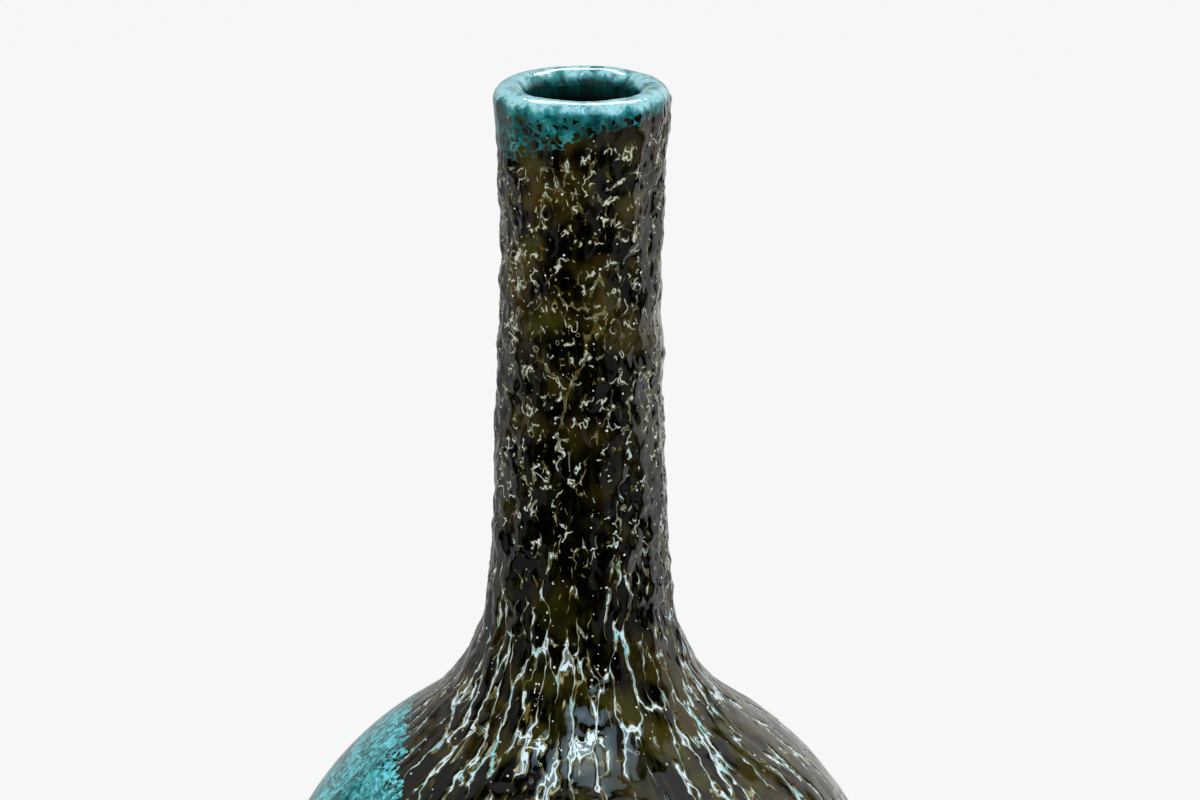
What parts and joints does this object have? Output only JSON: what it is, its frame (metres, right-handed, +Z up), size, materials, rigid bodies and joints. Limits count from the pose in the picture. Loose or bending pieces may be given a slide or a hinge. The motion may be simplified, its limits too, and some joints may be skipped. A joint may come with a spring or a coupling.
{
  "type": "bottle vase",
  "caption": "Ceramic bottle vase: a globe on a low foot ring, a long slim neck with a rolled lip, and thick veined glaze with turquoise fields.",
  "frame": {"origin": "centre of the foot ring's underside, on the table", "axes": "+Z up along the vase's axis to the mouth; the picture looks along +Y; +X is to the picture's right, and the large turquoise field is towards -X"},
  "size_m": [0.184, 0.184, 0.3475],
  "materials": {
    "clay": "matte",
    "dark_glaze": "gloss",
    "turquoise_glaze": "gloss",
    "liner_glaze": "gloss"
  },
  "bodies": {
    "root": {"body_globe": "clay", "neck_tube": "clay", "shoulder_collar": "clay", "foot_ring": "clay", "rim_glaze": "turquoise_glaze", "neck_glaze": "dark_glaze", "body_glaze": "dark_glaze", "left_field_glaze": "turquoise_glaze", "rear_field_glaze": "turquoise_glaze", "liner_glaze": "liner_glaze"}
  },
  "joints": []
}
